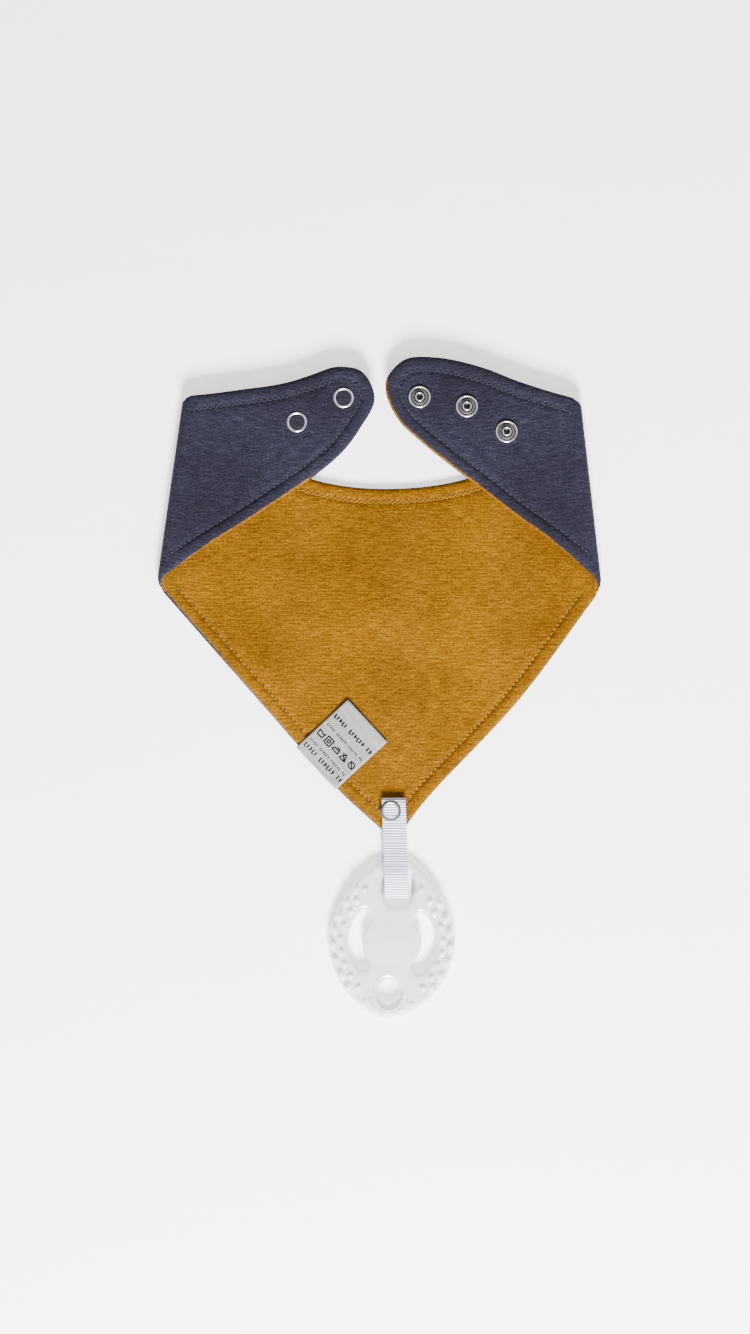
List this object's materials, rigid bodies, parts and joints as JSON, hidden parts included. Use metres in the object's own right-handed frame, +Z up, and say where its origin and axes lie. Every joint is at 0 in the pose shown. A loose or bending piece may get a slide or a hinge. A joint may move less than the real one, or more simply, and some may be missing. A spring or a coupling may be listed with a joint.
{
  "type": "bandana bib",
  "caption": "Reversible cotton bandana bib with folded neck wings, metal ring snaps and a ribbon strap holding a clear silicone teether.",
  "frame": {"origin": "on the table, under the middle of the bib's and teether's joint outline", "axes": "+X across the bib to its right wing, +Y from the teether towards the neck, +Z up from the table"},
  "size_m": [0.211, 0.3142, 0.0107],
  "materials": {
    "navy_jersey": "matt cotton jersey, dark grey-navy",
    "mustard_jersey": "matt cotton jersey, mustard, with faint cross streaks",
    "lining_fleece": "soft white fleece",
    "label_satin": "printed white satin",
    "ribbon_grosgrain": "white ribbed grosgrain",
    "snap_metal": "bright nickel plate",
    "clear_silicone": "clear, slightly milky smooth silicone"
  },
  "bodies": {
    "bib": {"front_panel": "navy_jersey", "absorbent_lining": "lining_fleece", "back_panel": "mustard_jersey", "tip_prong_ring": "snap_metal", "tip_snap_stud": "snap_metal", "ribbon_seam_tab": "ribbon_grosgrain", "ribbon_front_bend": "ribbon_grosgrain", "left_fold_front": "navy_jersey", "left_fold_lining": "lining_fleece", "left_fold_back": "mustard_jersey", "right_fold_front": "navy_jersey", "right_fold_lining": "lining_fleece", "right_fold_back": "mustard_jersey"},
    "label_flap": {"care_label": "label_satin"},
    "left_wing": {"left_wing_front": "navy_jersey", "left_wing_lining": "lining_fleece", "left_wing_back": "mustard_jersey", "left_prong_ring_1": "snap_metal", "left_snap_socket_1": "snap_metal", "left_socket_spring_1": "snap_metal", "left_prong_ring_2": "snap_metal", "left_snap_socket_2": "snap_metal", "left_socket_spring_2": "snap_metal"},
    "right_wing": {"right_wing_front": "navy_jersey", "right_wing_lining": "lining_fleece", "right_wing_back": "mustard_jersey", "right_snap_stud_1": "snap_metal", "right_prong_ring_1": "snap_metal", "right_snap_stud_2": "snap_metal", "right_prong_ring_2": "snap_metal", "right_snap_stud_3": "snap_metal", "right_prong_ring_3": "snap_metal"},
    "strap_end": {"ribbon_end": "ribbon_grosgrain", "ribbon_prong_ring": "snap_metal", "ribbon_snap_socket": "snap_metal", "ribbon_socket_spring": "snap_metal"},
    "strap_loop": {"ribbon_loop": "ribbon_grosgrain"},
    "teether": {"teether": "clear_silicone"}
  },
  "joints": [
    {"name": "left_wing_fold", "type": "hinge", "parent": "bib", "child": "left_wing", "pos_m": [-0.09573, 0.09, 0.0041], "axis": [-0.1405, -0.9901, 0], "range_deg": [0, 179], "deforming": ["left_fold_front", "left_fold_lining", "left_fold_back"]},
    {"name": "right_wing_fold", "type": "hinge", "parent": "bib", "child": "right_wing", "pos_m": [0.09661, 0.09, 0.0041], "axis": [-0.1132, 0.9936, 0], "range_deg": [0, 179], "deforming": ["right_fold_front", "right_fold_lining", "right_fold_back"]},
    {"name": "label_flip", "type": "hinge", "parent": "bib", "child": "label_flap", "pos_m": [-0.00601, -0.01609, 0.0033], "axis": [-0.6794, 0.7337, 0], "range_deg": [0, 150]},
    {"name": "strap_snap_peel", "type": "hinge", "parent": "bib", "child": "strap_end", "pos_m": [0.0073, -0.0725, 0.0033], "axis": [1, 0, 0], "range_deg": [0, 60], "deforming": ["ribbon_front_bend"]},
    {"name": "strap_swing", "type": "hinge", "parent": "bib", "child": "strap_loop", "pos_m": [0.0073, -0.0725, 0.0033], "axis": [-1, 0, 0], "range_deg": [-40, 60]},
    {"name": "teether_slide", "type": "slide", "parent": "strap_loop", "child": "teether", "axis": [0, -1, 0], "range_m": [-0.001, 0.009]}
  ]
}
